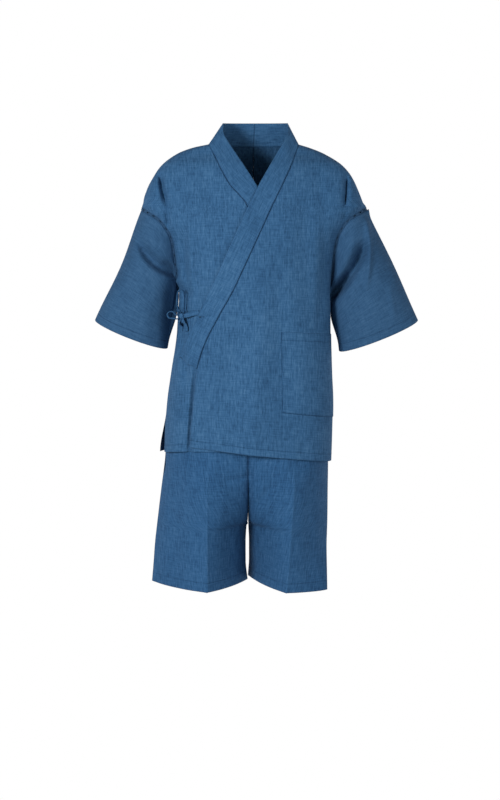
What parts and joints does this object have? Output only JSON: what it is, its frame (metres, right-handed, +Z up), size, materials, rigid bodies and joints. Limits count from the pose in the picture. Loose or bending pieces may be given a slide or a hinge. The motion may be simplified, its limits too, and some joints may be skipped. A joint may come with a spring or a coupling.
{
  "type": "jinbei set",
  "caption": "Worn summer set with no wearer: a jacket wrapped left over right with straight elbow sleeves and a side bow, and knee-length shorts with pressed creases.",
  "frame": {"origin": "middle of the neck base, level with the shoulder ends of the collar seam, where the jacket hangs from the wearer's shoulders", "axes": "+Z up, the front faces -Y, +X towards the wearer's left"},
  "size_m": [0.7297, 0.2817, 1.05],
  "materials": {
    "cloth": "matte slub cotton, medium indigo",
    "collar_cloth": "matte slub cotton, folded double",
    "shorts_cloth": "matte slub cotton, pressed",
    "tie_cloth": "matte slub cotton, narrow band",
    "lace": "openwork ladder stitch in matching thread"
  },
  "bodies": {
    "root": {"front_left": "cloth", "front_right": "cloth", "back_left": "cloth", "back_right": "cloth", "collar_left": "collar_cloth", "collar_right": "collar_cloth", "pocket": "cloth", "sleeve_left": "cloth", "sleeve_right": "cloth", "lace_front_left": "lace", "lace_back_left": "lace", "lace_front_right": "lace", "lace_back_right": "lace", "shorts_front_left": "shorts_cloth", "shorts_back_left": "shorts_cloth", "shorts_front_right": "shorts_cloth", "shorts_back_right": "shorts_cloth", "waistband": "shorts_cloth", "tie_knot": "tie_cloth", "tie_over": "tie_cloth", "tie_side": "tie_cloth", "tie_loop_low": "tie_cloth", "tie_loop_tall": "tie_cloth", "tie_end_front": "tie_cloth", "tie_end_side": "tie_cloth"}
  },
  "joints": []
}
